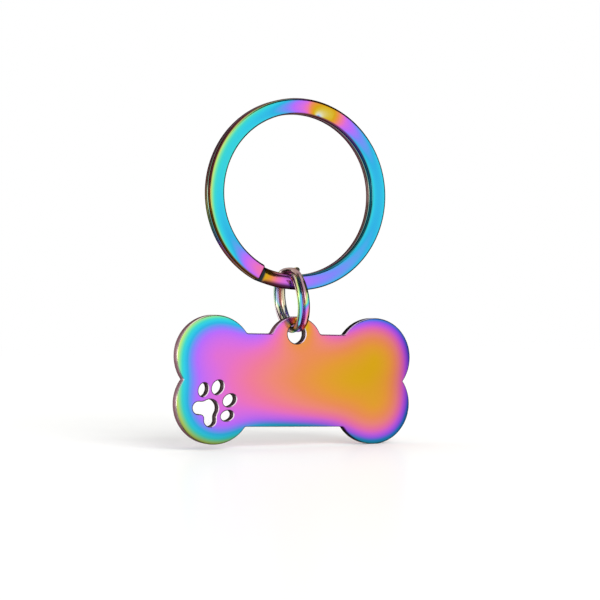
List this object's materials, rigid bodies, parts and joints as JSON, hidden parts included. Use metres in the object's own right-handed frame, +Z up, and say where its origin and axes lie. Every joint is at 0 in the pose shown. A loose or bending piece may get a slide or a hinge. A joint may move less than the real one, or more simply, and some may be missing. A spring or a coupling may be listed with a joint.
{
  "type": "pet tag",
  "caption": "Bone-shaped metal pet tag with a paw cut-out, hung by a small round-wire split ring from a flat split key ring, in a rainbow mirror finish.",
  "frame": {"origin": "where the part hangs: the inside of the key ring at its top, midway between its turns", "axes": "+Z up, opposite to the way the tag hangs; -Y out of the tag's front face; +X to the right seen from the front"},
  "size_m": [0.04, 0.0103, 0.0544],
  "materials": {
    "key_ring_metal": "mirror-polished stainless steel with a rainbow interference coat",
    "link_ring_metal": "drawn round wire with a rainbow interference coat",
    "tag_metal": "mirror-polished stainless steel with a rainbow interference coat, dull cut edges"
  },
  "bodies": {
    "key_ring": {"key_ring": "key_ring_metal"},
    "link_ring": {"link_ring": "link_ring_metal"},
    "tag": {"bone_tag": "tag_metal"}
  },
  "joints": [
    {"name": "link_swing", "type": "hinge", "parent": "key_ring", "child": "link_ring", "pos_m": [0, -0.00036, -0.02619], "axis": [1, 0, 0], "range_deg": [-110, 110]},
    {"name": "tag_swing", "type": "hinge", "parent": "link_ring", "child": "tag", "pos_m": [0, -0.00036, -0.03446], "axis": [0, 1, 0], "range_deg": [-25, 25]}
  ]
}
